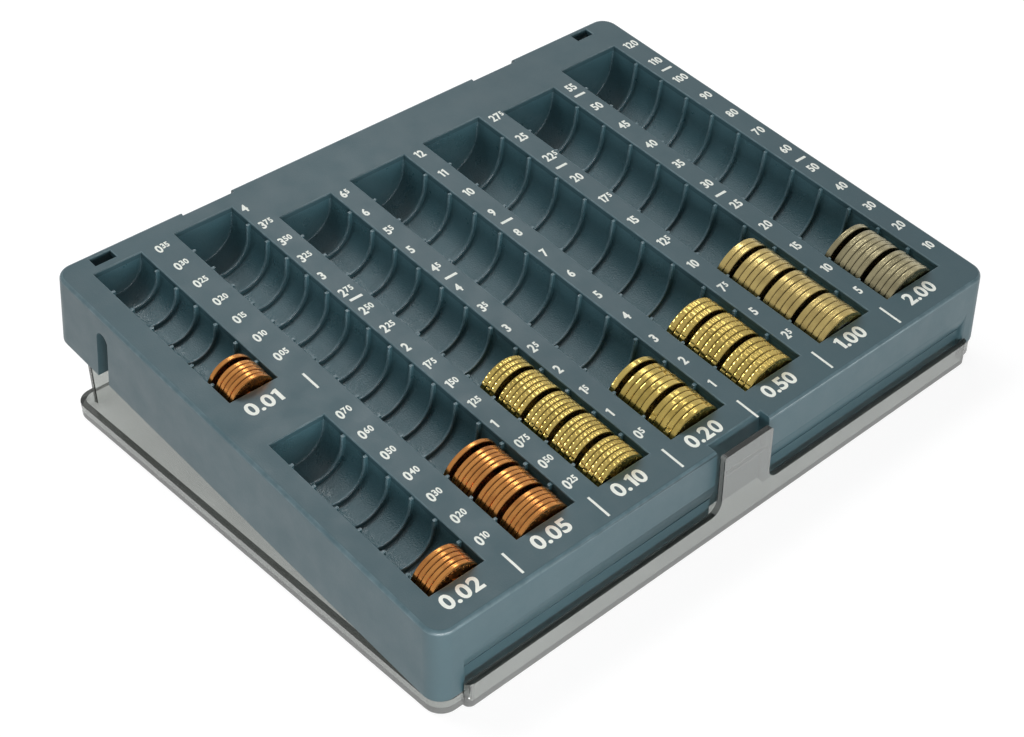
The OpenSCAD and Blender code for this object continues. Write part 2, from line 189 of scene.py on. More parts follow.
# %% World
SKY_DIM = 0.53
FRONT_DIM = 0.14
GLOW_AIM = (0.53, 0.38, 0.757)
GLOW = 0.10
ROOM_LIGHT = 0.36
world = bpy.data.worlds.new("studio")
bpy.context.scene.world = world
world.use_nodes = True
wt = world.node_tree
wt.nodes.clear()
sky = add_node(wt, "ShaderNodeTexCoord").outputs["Generated"]
aim = add_node(wt, "ShaderNodeSeparateXYZ")
wt.links.new(sky, aim.inputs[0])
# The sky is white up to 3 degrees and fully dimmed from 15 degrees up.
overhead = scaled(wt, aim.outputs["Z"], 5.0, -0.3, clamp=True)
dimming = scaled(wt, aim.outputs["Y"], -FRONT_DIM, SKY_DIM)
grey = sums(wt, "SUBTRACT", 1.0, sums(wt, "MULTIPLY", overhead, dimming))
toward = add_node(wt, "ShaderNodeVectorMath", operation="DOT_PRODUCT")
wt.links.new(sky, toward.inputs[0])
toward.inputs[1].default_value = GLOW_AIM
# The glow fades out 57 degrees from its middle.
patch = scaled(wt, toward.outputs["Value"], 2.2, -1.2, clamp=True)
grey = sums(wt, "ADD", grey, sums(wt, "MULTIPLY", patch, GLOW))
level = scaled(wt, seen_ray(wt), 1 - ROOM_LIGHT, ROOM_LIGHT)
background = add_node(wt, "ShaderNodeBackground")
background.inputs["Color"].default_value = (0.98, 0.99, 1.0, 1)
wt.links.new(sums(wt, "MULTIPLY", grey, level), background.inputs["Strength"])
world_out = add_node(wt, "ShaderNodeOutputWorld")
wt.links.new(background.outputs[0], world_out.inputs["Surface"])
print("world nodes", len(wt.nodes))

# %% Floor
FLOOR_HALF = 6.0
FLOOR_Z = -0.0002
floor_mat = bpy.data.materials.new("pale_floor")
floor_mat.use_nodes = True
ft = floor_mat.node_tree
ft.nodes.clear()
pale = add_node(ft, "ShaderNodeBsdfDiffuse")
pale.inputs["Color"].default_value = (0.80, 0.80, 0.80, 1)
shadow_only = add_node(ft, "ShaderNodeBsdfDiffuse")
shadow_only.inputs["Color"].default_value = (0.22, 0.22, 0.22, 1)
white = add_node(ft, "ShaderNodeEmission")
white.inputs["Color"].default_value = (1, 1, 1, 1)
white.inputs["Strength"].default_value = 0.88
shown = add_node(ft, "ShaderNodeAddShader")
ft.links.new(shadow_only.outputs[0], shown.inputs[0])
ft.links.new(white.outputs[0], shown.inputs[1])
choose = add_node(ft, "ShaderNodeMixShader")
ft.links.new(seen_ray(ft), choose.inputs["Fac"])
ft.links.new(pale.outputs[0], choose.inputs[1])
ft.links.new(shown.outputs[0], choose.inputs[2])
floor_out = add_node(ft, "ShaderNodeOutputMaterial")
ft.links.new(choose.outputs[0], floor_out.inputs["Surface"])

floor_mesh = bpy.data.meshes.new("floor")
corners = [(x * FLOOR_HALF, y * FLOOR_HALF, FLOOR_Z) for x, y in ((-1, -1), (1, -1), (1, 1), (-1, 1))]
floor_mesh.from_pydata(corners, [], [(0, 1, 2, 3)])
floor_mesh.materials.append(floor_mat)
floor = add_object("floor", floor_mesh)
print("floor at z", round(floor_mesh.vertices[0].co.z, 5))

# %% Soft boxes
LAMP_AIM = Vector((0, 0, 0.03))


def soft_box(name, place, size, power, in_gloss=True):
    data = bpy.data.lights.new(name, "AREA")
    data.shape = "RECTANGLE"
    data.size, data.size_y = size
    data.energy = power
    lamp = add_object(name, data)
    lamp.location = place
    lamp.rotation_euler = (LAMP_AIM - Vector(place)).to_track_quat("-Z", "Y").to_euler()
    lamp.visible_glossy = in_gloss


soft_box("key", (-0.20, 0.75, 1.05), (1.00, 0.60), 10.5, in_gloss=False)
soft_box("side", (-0.34, -0.40, 0.07), (0.25, 0.10), 1.1)
soft_box("front", (-0.05, -0.95, 0.16), (0.60, 0.24), 3.9)
soft_box("glint", (0.46, 0.46, 0.98), (0.34, 0.26), 1.3)

# %% [markdown]
# ## Shared surface effects
# Three effects turn up on more than one material, so each is a shader node group: the spark-eroded grain
# of the mould, whose light flecks also stand in as painted glints, the marks that handling leaves (tone,
# gloss and hairline scratches), and a broken-up mask of the faces that carry the attribute for wear and
# painted light. On plastic these faces are painted lighter, partly wear and partly painted highlight; on
# coins they are painted darker, as painted shade in the grooves between neighbouring coins. The groups
# read
# Object coordinates, which are metres here, so a scale of 1800 gives grains of about half a millimetre.

# %% Group helpers
FLOAT, VECTOR, INT = "NodeSocketFloat", "NodeSocketVector", "NodeSocketInt"
OBJECT, MATERIAL, GEOMETRY = "NodeSocketObject", "NodeSocketMaterial", "NodeSocketGeometry"


def node_group(kind, name, inputs, outputs):
    """A node group with named sockets; returns the tree and its two end nodes."""
    tree = bpy.data.node_groups.new(name, kind)
    for label, socket_type, value in inputs:
        socket = tree.interface.new_socket(label, in_out="INPUT", socket_type=socket_type)
        if value is not None:
            socket.default_value = value
    for label, socket_type in outputs:
        tree.interface.new_socket(label, in_out="OUTPUT", socket_type=socket_type)
    return tree, add_node(tree, "NodeGroupInput"), add_node(tree, "NodeGroupOutput")


def noise(tree, where, scale, detail, rough):
    made = add_node(tree, "ShaderNodeTexNoise")
    tree.links.new(where, made.inputs["Vector"])
    tree.links.new(scale, made.inputs["Scale"])
    made.inputs["Detail"].default_value = detail
    made.inputs["Roughness"].default_value = rough
    return made.outputs["Fac"]


def spread(tree, value, low, high, to_low=0.0, to_high=1.0):
    """Map Range, clamped."""
    made = add_node(tree, "ShaderNodeMapRange", clamp=True)
    feed(tree, value, made.inputs["Value"])
    for label, number in (("From Min", low), ("From Max", high), ("To Min", to_low), ("To Max", to_high)):
        made.inputs[label].default_value = number
    return made.outputs["Result"]


# %% Mould grain
grain_group, g_in, g_out = node_group(
    "ShaderNodeTree", "mould_grain",
    [("Vector", VECTOR, None), ("Scale", FLOAT, 1800.0)],
    [("Height", FLOAT), ("Fleck", FLOAT)],
)
soft_grain = noise(grain_group, g_in.outputs["Vector"], g_in.outputs["Scale"], 2.0, 0.6)
pits = add_node(grain_group, "ShaderNodeTexVoronoi", feature="F1")
grain_group.links.new(g_in.outputs["Vector"], pits.inputs["Vector"])
grain_group.links.new(g_in.outputs["Scale"], pits.inputs["Scale"])
pit_depth = spread(grain_group, pits.outputs["Distance"], 0.1, 0.7)
grain_group.links.new(sums(grain_group, "ADD", soft_grain, pit_depth), g_out.inputs["Height"])
# Light flecks of the grain; the plastics also use them as painted glints.
grain_group.links.new(spread(grain_group, soft_grain, 0.55, 0.72), g_out.inputs["Fleck"])
print("group", grain_group.name, len(grain_group.nodes), "nodes")

# %% Handling marks
marks_group, m_in, m_out = node_group(
    "ShaderNodeTree", "handling_marks",
    [("Vector", VECTOR, None), ("Scale", FLOAT, 22.0), ("Scratch Scale", FLOAT, 160.0)],
    [("Tone", FLOAT), ("Gloss", FLOAT), ("Scratch", FLOAT)],
)
tone = noise(marks_group, m_in.outputs["Vector"], m_in.outputs["Scale"], 4.0, 0.55)
marks_group.links.new(spread(marks_group, tone, 0.3, 0.7), m_out.inputs["Tone"])
smear_scale = sums(marks_group, "MULTIPLY", m_in.outputs["Scale"], 5.0)
smear = noise(marks_group, m_in.outputs["Vector"], smear_scale, 5.0, 0.6)
marks_group.links.new(spread(marks_group, smear, 0.3, 0.7), m_out.inputs["Gloss"])
drawn = add_node(marks_group, "ShaderNodeMapping")
drawn.inputs["Rotation"].default_value = (0.3, 0.2, 0.9)
drawn.inputs["Scale"].default_value = (1.0, 22.0, 9.0)
marks_group.links.new(m_in.outputs["Vector"], drawn.inputs["Vector"])
lines = noise(marks_group, drawn.outputs[0], m_in.outputs["Scratch Scale"], 2.0, 0.5)
marks_group.links.new(spread(marks_group, lines, 0.66, 0.74), m_out.inputs["Scratch"])
print("group", marks_group.name, len(marks_group.nodes), "nodes")

# %% Broken-up mask of faces with wear and painted light
wear_and_light_group, r_in, r_out = node_group(
    "ShaderNodeTree", "rubbed_edge",
    [("Vector", VECTOR, None), ("Edge", FLOAT, 0.0), ("Break Up", FLOAT, 260.0)],
    [("Mask", FLOAT)],
)
breaks = noise(wear_and_light_group, r_in.outputs["Vector"], r_in.outputs["Break Up"], 3.0, 0.6)
patches = spread(wear_and_light_group, breaks, 0.35, 0.65, 0.35, 1.0)
mask = sums(wear_and_light_group, "MULTIPLY", patches, r_in.outputs["Edge"], clamp=True)
wear_and_light_group.links.new(mask, r_out.inputs["Mask"])
print("group", wear_and_light_group.name, len(wear_and_light_group.nodes), "nodes")

# %% [markdown]
# ## Materials
# Every finish starts from the same small frame: a Principled shader, Object coordinates and the groups
# above. The tray is a dark blue-grey plastic with a satin skin over a faint grain, painted lighter along
# its edges: partly wear, partly a painted highlight. The troughs are the same plastic, glossier and with
# a deeper grain, in a lighter colour that is painted light for the shaded troughs.


# %% Material helper
class Finish:
    """A material with its Principled shader and short ways to add groups and mixes."""

    def __init__(self, name):
        self.mat = bpy.data.materials.new(name)
        self.mat.use_nodes = True
        self.tree = self.mat.node_tree
        self.shader = self.tree.nodes["Principled BSDF"]
        self.where = add_node(self.tree, "ShaderNodeTexCoord").outputs["Object"]

    def plain(self, **values):
        for key, value in values.items():
            self.shader.inputs[key.replace("_", " ")].default_value = value

    def group(self, tree, **values):
        made = add_node(self.tree, "ShaderNodeGroup", node_tree=tree)
        self.tree.links.new(self.where, made.inputs["Vector"])
        for key, value in values.items():
            feed(self.tree, value, made.inputs[key.replace("_", " ")])
        return made.outputs

    def attribute(self, name):
        return add_node(self.tree, "ShaderNodeAttribute", attribute_name=name).outputs["Fac"]

    def times(self, value, factor, clamp=False):
        return sums(self.tree, "MULTIPLY", value, factor, clamp)

    def plus(self, a, b):
        return sums(self.tree, "ADD", a, b)

    def mix(self, factor, a, b):
        made = add_node(self.tree, "ShaderNodeMix", data_type="RGBA")
        feed(self.tree, factor, made.inputs["Factor"])
        for socket, value in ((made.inputs[6], a), (made.inputs[7], b)):
            feed(self.tree, value if isinstance(value, bpy.types.NodeSocket) else (*value, 1), socket)
        return made.outputs[2]

    def roughness(self, marks, low, high):
        """Roughness that wanders from low to high with the handling marks."""
        return spread(self.tree, marks["Gloss"], 0.0, 1.0, low, high)

    def bump(self, height, strength, distance):
        made = add_node(self.tree, "ShaderNodeBump")
        made.inputs["Strength"].default_value = strength
        made.inputs["Distance"].default_value = distance
        self.tree.links.new(height, made.inputs["Height"])
        self.tree.links.new(made.outputs[0], self.shader.inputs["Normal"])

    def link(self, socket, key):
        self.tree.links.new(socket, self.shader.inputs[key])


# %% Tray and trough plastic
# Colour of the grain's light flecks, which also stand in as painted glints.
FLECK_AND_GLINT_COLOUR = (0.12, 0.20, 0.22)
# Colour of the edges and rib crests: partly wear, partly painted highlight.
RUB_AND_HIGHLIGHT_COLOUR = (0.15, 0.23, 0.26)
PLASTIC_GRAIN = 0.00010


def moulded_plastic(name, dark, light, grain, relief, rough, gloss, rub_and_highlight):
    f = Finish(name)
    grains = f.group(grain_group, Scale=grain)
    marks = f.group(marks_group)
    face_marks = f.group(wear_and_light_group, Edge=f.attribute("worn"))
    body = f.mix(f.times(marks["Tone"], 0.6), dark, light)
    # Light flecks of the grain, which also serve as painted glints.
    flecked_and_glinting = f.mix(f.times(grains["Fleck"], 0.4 * relief), body, FLECK_AND_GLINT_COLOUR)
    # Marked faces are painted lighter: wear and painted highlight along edges and rib crests.
    f.link(f.mix(f.times(face_marks["Mask"], rub_and_highlight), flecked_and_glinting, RUB_AND_HIGHLIGHT_COLOUR), "Base Color")
    matt = f.roughness(marks, rough - 0.05, rough + 0.07)
    f.link(sums(f.tree, "SUBTRACT", matt, f.times(face_marks["Mask"], 0.12)), "Roughness")
    scratches = f.times(marks["Scratch"], -0.3)
    f.bump(f.plus(grains["Height"], scratches), relief, PLASTIC_GRAIN)
    f.plain(IOR=1.5, Specular_IOR_Level=gloss)
    return f.mat


tray_plastic = moulded_plastic(
    "tray_plastic", dark=(0.031, 0.075, 0.091), light=(0.039, 0.091, 0.109),
    grain=1900.0, relief=0.12, rough=0.45, gloss=0.85, rub_and_highlight=0.7)
# Painted light: the same plastic as the tray in a lighter colour, so the shaded troughs read brighter.
trough_plastic = moulded_plastic(
    "trough_plastic", dark=(0.047, 0.112, 0.135), light=(0.062, 0.139, 0.164),
    grain=2200.0, relief=0.55, rough=0.30, gloss=1.2, rub_and_highlight=0.8)
print("plastics", tray_plastic.name, trough_plastic.name)

# %% [markdown]
# The lid is a smoked clear plastic. The smoke is in the plastic and not on it, so the colour comes from
# Volume Absorption, and the flat panel stays pale grey over white. Its broken edges and the tops of its
# walls are looked through lengthwise: they carry the attribute for wear and painted light and are painted
# nearly black, painted shade for the dark lines they show. Handling marks only touch the roughness and
# the faint tone of its skin.

# %% Smoked plastic
# Painted shade: the colour of the lid's edges and wall tops.
EDGE_SHADE_COLOUR = (0.012, 0.013, 0.011)
f = Finish("smoked_plastic")
marks = f.group(marks_group, Scale=30.0)
clear = f.mix(marks["Tone"], (0.68, 0.70, 0.68), (0.76, 0.78, 0.76))
f.link(f.mix(f.attribute("worn"), clear, EDGE_SHADE_COLOUR), "Base Color")
f.link(f.roughness(marks, 0.0, 0.06), "Roughness")
f.plain(IOR=1.49, Transmission_Weight=0.8)
smoke = add_node(f.tree, "ShaderNodeVolumeAbsorption")
smoke.inputs["Color"].default_value = (0.55, 0.57, 0.55, 1)
smoke.inputs["Density"].default_value = 330.0
f.tree.links.new(smoke.outputs[0], f.tree.nodes["Material Output"].inputs["Volume"])
smoked_plastic = f.mat
print("lid", smoked_plastic.name)

# %% [markdown]
# Coins are metal with the wear of handling. Each coin carries its own random tone as an attribute, the
# rim chamfers where neighbouring coins meet are painted darker as painted shade in the grooves between
# them, and the two-tone coins have a core of another colour. Their milled edge is a fine wave along the
# edge's own UV map.

# %% Coin metals
COIN_ROUGH = 0.20
COIN_RELIEF = 0.00006


def coin_metal(name, bright, dull, core=None, reeds=0.0):
    f = Finish(name)
    grains = f.group(grain_group, Scale=2600.0)
    marks = f.group(marks_group, Scale=150.0, Scratch_Scale=700.0)
    face_marks = f.group(wear_and_light_group, Edge=f.attribute("worn"), Break_Up=500.0)
    own_tone = scaled(f.tree, f.attribute("coin_tone"), 0.7, 0.25)
    body = f.mix(f.times(marks["Tone"], own_tone, clamp=True), bright, dull)
    if core:
        body = f.mix(f.attribute("core"), body, core)
    # Painted shade: the rim chamfers between neighbouring coins are mixed towards a dark copy of the
    # metal.
    groove_shade = tuple(0.3 * c for c in dull)
    f.link(f.mix(f.times(face_marks["Mask"], 0.7), body, groove_shade), "Base Color")
    f.link(f.roughness(marks, COIN_ROUGH - 0.06, COIN_ROUGH + 0.12), "Roughness")
    relief = f.plus(f.times(grains["Height"], 0.08), f.times(marks["Scratch"], -0.25))
    if reeds:
        along = add_node(f.tree, "ShaderNodeUVMap", uv_map="UVMap")
        split = add_node(f.tree, "ShaderNodeSeparateXYZ")
        f.tree.links.new(along.outputs[0], split.inputs[0])
        wave = sums(f.tree, "SINE", f.times(split.outputs["X"], 2 * math.pi))
        relief = f.plus(relief, f.times(wave, reeds))
    f.bump(relief, 0.5, COIN_RELIEF)
    f.plain(Metallic=1.0)
    return f.mat


copper_metal = coin_metal("copper_coin", (0.90, 0.395, 0.112), (0.48, 0.176, 0.050))
gold_metal = coin_metal("golden_coin", (0.86, 0.645, 0.190), (0.47, 0.34, 0.085))
ring_gold_metal = coin_metal(
    "two_tone_coin_gold_ring", (0.82, 0.63, 0.24), (0.47, 0.35, 0.135),
    core=(0.60, 0.57, 0.51), reeds=0.25)
ring_silver_metal = coin_metal(
    "two_tone_coin_silver_ring", (0.58, 0.51, 0.305), (0.29, 0.255, 0.15),
    core=(0.62, 0.49, 0.22), reeds=0.35)
print("metals", [m.name for m in (copper_metal, gold_metal, ring_gold_metal, ring_silver_metal)])

# %% Printing ink
f = Finish("white_ink")
marks = f.group(marks_group, Scale=300.0)
grains = f.group(grain_group, Scale=1900.0)
f.link(f.mix(marks["Tone"], (0.86, 0.90, 0.83), (0.95, 0.97, 0.91)), "Base Color")
f.link(f.roughness(marks, 0.45, 0.65), "Roughness")
f.bump(grains["Height"], 0.25, 0.00003)
white_ink = f.mat
print("ink", white_ink.name)

# %% [markdown]
# ## Tray shell
# The CAD shell has the right walls, openings and rounded top, but all its cut edges are knife sharp. A
# moulding never is: the rims of the openings catch a thin line of light. So a merged copy of the shell
# gets its flat faces joined, and a small bevel along those rims and the thumb notch. The bevel faces and
# the round outer edge carry the attribute for wear and painted light: they are painted lighter, partly
# wear and partly a painted highlight.

# %% Mesh helpers
WELD = 0.002
FLAT_ANGLE = math.radians(0.5)
SMOOTH_ANGLE = math.radians(32)


def cad_copy(node, to_world):
    """The node's triangles as one welded mesh in millimetres, with its flat faces joined."""
    bm = bmesh.new()
    bm.from_mesh(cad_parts[node].data)
    bmesh.ops.transform(bm, matrix=to_world.inverted(), verts=bm.verts)
    bmesh.ops.remove_doubles(bm, verts=bm.verts, dist=WELD)
    bmesh.ops.dissolve_limit(bm, angle_limit=FLAT_ANGLE, verts=bm.verts, edges=bm.edges)
    return bm


def sharp(edge, degrees):
    return len(edge.link_faces) == 2 and edge.calc_face_angle(0) > math.radians(degrees)


def wear_and_light_layer(bm):
    """The face attribute for wear and painted light that the materials read."""
    return bm.faces.layers.float.get("worn") or bm.faces.layers.float.new("worn")


def soften(bm, edges, width, mark=1.0):
    """Bevels edges and marks the new faces for wear and painted light."""
    worn = wear_and_light_layer(bm)
    made = bmesh.ops.bevel(bm, geom=edges, offset=width, offset_type="OFFSET", segments=2,
                           profile=0.5, affect="EDGES", clamp_overlap=False)
    for face in made["faces"]:
        face[worn] = mark
    return len(made["faces"])


def evaluated_mesh(carrier, name):
    """The mesh of an object with its modifiers applied; the object itself goes."""
    graph = bpy.context.evaluated_depsgraph_get()
    mesh = bpy.data.meshes.new_from_object(
        carrier.evaluated_get(graph), preserve_all_data_layers=True, depsgraph=graph)
    mesh.name = name
    bpy.data.objects.remove(carrier)
    return mesh


def finished_mesh(name, bm, to_world, material):
    """A bmesh in millimetres as a smooth mesh in metres, with normals that follow its large faces."""
    wear_and_light_layer(bm)
    mesh = bpy.data.meshes.new(name)
    bm.to_mesh(mesh)
    bm.free()
    mesh.transform(to_world)
    mesh.materials.append(material)
    mesh.shade_smooth()
    mesh.set_sharp_from_angle(angle=SMOOTH_ANGLE)
    raw = add_object(name + "_raw", mesh)
    weighted = raw.modifiers.new("even", "WEIGHTED_NORMAL")
    weighted.keep_sharp = True
    return evaluated_mesh(raw, name)


def add_piece(name, mesh, body, replaces=()):
    """Links a finished mesh as a piece that rides on a CAD body."""
    piece = add_object(name, mesh)
    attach(piece, body)
    if replaces:
        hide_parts(*replaces)


# %% Shell with soft rims
RIM_BEVEL = 0.35
ROUND_DEPTH = 1.4
ROUND_HIGHLIGHT = 0.7
shell = cad_copy("tray_shell", TRAY_MM)
rims = [e for e in shell.edges if sharp(e, 50) and all(abs(v.co.z - DECK_Z) < 0.02 for v in e.verts)]
# The bevels along the rims are painted lighter: wear and painted highlight.
made = soften(shell, rims, RIM_BEVEL)
worn = wear_and_light_layer(shell)
# The rounded outer edge is painted lighter too: a painted highlight, with some wear.
for face in shell.faces:
    if 0.2 < face.normal.z < 0.97 and face.calc_center_median().z > DECK_Z - ROUND_DEPTH:
        face[worn] = ROUND_HIGHLIGHT
shell_mesh = finished_mesh("tray_moulding", shell, TRAY_MM, tray_plastic)
add_piece("tray_moulding", shell_mesh, "tray", ["tray_shell"])
print("tray rims", len(rims), "edges,", made, "bevel faces,", len(shell_mesh.polygons), "faces in all")

# %% [markdown]
# ## Troughs and ribs
# Under each opening hangs a half-round trough. Its channel is a plain section drawn along the row. The
# ribs repeat at a fixed pitch and follow the same U, so they come from one Geometry Nodes tree: a
# straight line is bent into the U, a small rounded profile is swept along it, and the rib is set out
# along the row. Pitch, width and count are inputs of the tree, so one tree serves all eight rows.


# %% Geometry tree helpers
def vector(tree, x, y=0.0):
    """A vector with z = 0; x and y are sockets or numbers."""
    made = add_node(tree, "ShaderNodeCombineXYZ")
    feed(tree, x, made.inputs["X"])
    feed(tree, y, made.inputs["Y"])
    return made.outputs[0]


def end_tree(tree, instances, material, end):
    """Makes the instances real, gives them the material and hands them out."""
    real = add_node(tree, "GeometryNodeRealizeInstances")
    tree.links.new(instances, real.inputs[0])
    dressed = add_node(tree, "GeometryNodeSetMaterial")
    tree.links.new(real.outputs[0], dressed.inputs["Geometry"])
    tree.links.new(material, dressed.inputs["Material"])
    tree.links.new(dressed.outputs[0], end.inputs["Geometry"])


def grow(tree, name, **values):
    """Evaluates a geometry tree once and returns its plain mesh."""
    carrier = add_object(name + "_raw", bpy.data.meshes.new(name + "_raw"))
    modifier = carrier.modifiers.new("tree", "NODES")
    modifier.node_group = tree
    for item in tree.interface.items_tree:
        key = item.name.replace(" ", "_")
        if item.item_type == "SOCKET" and item.in_out == "INPUT" and key in values:
            modifier[item.identifier] = values[key]
    return evaluated_mesh(carrier, name)


# %% Rib tree: the U
RIB_POINTS = 57
RIB_ROOT = 0.3
RIB_TOP = 24.9
RIB_DEPTH = 1.35
RIB_ROUNDING = 0.34
rib_tree, tree_in, tree_out = node_group("GeometryNodeTree", "trough_ribs", [
    ("Width", FLOAT, 20.0),
    ("Side Height", FLOAT, 5.0),
    ("Rib Depth", FLOAT, RIB_DEPTH),
    ("Rib Thickness", FLOAT, RIB_THICKNESS),
    ("Pitch", FLOAT, 10.0),
    ("Count", INT, 6),
    ("Material", MATERIAL, None),
], [("Geometry", GEOMETRY)])
t = rib_tree
radius = sums(t, "MULTIPLY", tree_in.outputs["Width"], 0.5)
side = tree_in.outputs["Side Height"]
bend = sums(t, "MULTIPLY", radius, math.pi)
whole = sums(t, "ADD", sums(t, "MULTIPLY", side, 2.0), bend)
share = sums(t, "DIVIDE", add_node(t, "GeometryNodeInputIndex").outputs[0], RIB_POINTS - 1)
swing = sums(t, "SUBTRACT", 1.0, sums(t, "COSINE", sums(t, "MULTIPLY", share, math.pi)))
run = sums(t, "MULTIPLY", sums(t, "MULTIPLY", swing, 0.5), whole)
past_side = sums(t, "SUBTRACT", run, side)
turn = sums(t, "MINIMUM", sums(t, "MAXIMUM", sums(t, "DIVIDE", past_side, radius), 0.0), math.pi)
left = sums(t, "MAXIMUM", sums(t, "SUBTRACT", side, run), 0.0)
right = sums(t, "MAXIMUM", sums(t, "SUBTRACT", past_side, bend), 0.0)
fall = sums(t, "MULTIPLY", radius, sums(t, "SINE", turn))
rise = sums(t, "SUBTRACT", sums(t, "ADD", left, right), fall)
across = sums(t, "MULTIPLY", sums(t, "COSINE", turn), sums(t, "MULTIPLY", radius, -1.0))

line = add_node(t, "GeometryNodeCurvePrimitiveLine")
points = add_node(t, "GeometryNodeResampleCurve", mode="COUNT")
points.inputs["Count"].default_value = RIB_POINTS
t.links.new(line.outputs[0], points.inputs[0])
path = add_node(t, "GeometryNodeSetPosition")
t.links.new(points.outputs[0], path.inputs["Geometry"])
t.links.new(vector(t, across, rise), path.inputs["Position"])
upright = add_node(t, "GeometryNodeSetCurveNormal", mode="Z_UP")
t.links.new(path.outputs[0], upright.inputs[0])
print("U drawn with", RIB_POINTS, "points")

# %% Rib tree: profile, sweep and row
depth = tree_in.outputs["Rib Depth"]
thickness = tree_in.outputs["Rib Thickness"]
profile = add_node(t, "GeometryNodeCurvePrimitiveQuadrilateral")
t.links.new(sums(t, "ADD", depth, RIB_ROOT), profile.inputs["Width"])
t.links.new(thickness, profile.inputs["Height"])
rounded = add_node(t, "GeometryNodeFilletCurve", mode="POLY")
t.links.new(profile.outputs[0], rounded.inputs["Curve"])
rounded.inputs["Count"].default_value = 3
t.links.new(sums(t, "MULTIPLY", thickness, RIB_ROUNDING), rounded.inputs["Radius"])
inward = add_node(t, "GeometryNodeTransform")
t.links.new(rounded.outputs[0], inward.inputs["Geometry"])
middle = sums(t, "MULTIPLY", sums(t, "SUBTRACT", RIB_ROOT, depth), 0.5)
t.links.new(vector(t, middle), inward.inputs["Translation"])
sweep = add_node(t, "GeometryNodeCurveToMesh")
t.links.new(upright.outputs[0], sweep.inputs["Curve"])
t.links.new(inward.outputs[0], sweep.inputs["Profile Curve"])
sweep.inputs["Fill Caps"].default_value = True
stand = add_node(t, "GeometryNodeTransform")
stand.inputs["Rotation"].default_value = (math.pi / 2, 0, 0)
t.links.new(sweep.outputs[0], stand.inputs["Geometry"])

row_line = add_node(t, "GeometryNodeMeshLine")
t.links.new(tree_in.outputs["Count"], row_line.inputs["Count"])
t.links.new(vector(t, 0.0, tree_in.outputs["Pitch"]), row_line.inputs["Offset"])
copies = add_node(t, "GeometryNodeInstanceOnPoints")
t.links.new(row_line.outputs[0], copies.inputs["Points"])
t.links.new(stand.outputs[0], copies.inputs["Instance"])
end_tree(t, copies.outputs[0], tree_in.outputs["Material"], tree_out)
print("rib tree", len(t.nodes), "nodes")

# %% Trough channels
TROUGH_WALL = 1.6
U_STEPS = 40


def u_section(radius, axis_z):
    """Points (x, z) down one side, round the floor and up the other side."""
    turns = [math.pi * k / U_STEPS for k in range(U_STEPS + 1)]
    arc = [(-radius * math.cos(a), axis_z - radius * math.sin(a)) for a in turns]
    return [(-radius, DECK_LOW)] + arc + [(radius, DECK_LOW)]


def trough_channel(row):
    """Closed channel with end walls, in the tray frame, and the edges round the foot of its end walls."""
    bm = bmesh.new()
    inner = slot_width(row) / 2
    outer = inner + TROUGH_WALL
    axis_z = trough_floor(row) + inner
    rings = []
    for radius, wall in ((inner, 0.0), (outer, TROUGH_WALL)):
        for y in (row.y - wall, slot_end(row) + wall):
            rings.append([bm.verts.new((row.x + x, y, z)) for x, z in u_section(radius, axis_z)])
    for a, b in ((rings[0], rings[1]), (rings[2], rings[3])):
        for k in range(len(a) - 1):
            bm.faces.new((a[k], a[k + 1], b[k + 1], b[k]))
        bm.faces.new(a)
        bm.faces.new(b)
    tips = [[ring[0], ring[-1]] for ring in rings]
    inside = [tips[0][0], tips[0][1], tips[1][1], tips[1][0]]
    outside = [tips[2][0], tips[2][1], tips[3][1], tips[3][0]]
    for k in range(4):
        bm.faces.new((inside[k], inside[k - 1], outside[k - 1], outside[k]))
    bmesh.ops.recalc_face_normals(bm, faces=bm.faces)
    foot = [e for e in bm.edges if any({*e.verts} <= {*ring} for ring in rings[:2])
            and not all(abs(v.co.z - DECK_LOW) < 1e-4 for v in e.verts)]
    return bm, foot


def trough_ribs(row, name):
    """The ribs of one row as a welded mesh in the tray frame."""
    axis_z = trough_floor(row) + slot_width(row) / 2
    ribs = grow(rib_tree, name, Width=slot_width(row), Side_Height=RIB_TOP - axis_z,
                Pitch=cell_pitch(row), Count=row.cells - 1, Material=trough_plastic)
    ribs.transform(Matrix.Translation((row.x, rib_front(row, 1) + RIB_THICKNESS / 2, axis_z)))
    bm = bmesh.new()
    bm.from_mesh(ribs)
    bmesh.ops.remove_doubles(bm, verts=bm.verts, dist=0.001)
    bmesh.ops.recalc_face_normals(bm, faces=bm.faces)
    bm.to_mesh(ribs)
    bm.free()
    return ribs


# %% Ribbed troughs
FOOT_FILLET = 0.5
FOOT_HIGHLIGHT = 0.7
CREST_SHARE = 0.8
for value, row in ROWS.items():
    bm, foot = trough_channel(row)
    # The fillet at the foot of the end walls is painted lighter: a painted highlight.
    soften(bm, foot, FOOT_FILLET, FOOT_HIGHLIGHT)
    ribs = trough_ribs(row, f"ribs_{value}")
    bm.from_mesh(ribs)
    bpy.data.meshes.remove(ribs)
    worn = wear_and_light_layer(bm)
    inner = slot_width(row) / 2
    crest = inner - CREST_SHARE * RIB_DEPTH
    # Rib crests are painted lighter: wear from the coins and a painted highlight.
    for face in bm.faces:
        at = face.calc_center_median() - Vector((row.x, 0, trough_floor(row) + inner))
        if math.hypot(at.x, min(at.z, 0)) < crest and row.y + 1 < at.y < slot_end(row) - 1:
            face[worn] = 1.0
    name = f"ribbed_trough_{value}"
    mesh = finished_mesh(name, bm, TRAY_MM, trough_plastic)
    add_piece(name, mesh, "tray", [f"trough_{value}"])
    print(name, row.cells - 1, "ribs,", len(mesh.polygons), "faces")

# %% [markdown]
# ## Lid
# The lid is the CAD lid with its cut edges broken. On clear plastic the bevel matters more than on the
# tray: each small slanted face is painted nearly black, painted shade that draws the dark lines outlining
# the wall and the tab.

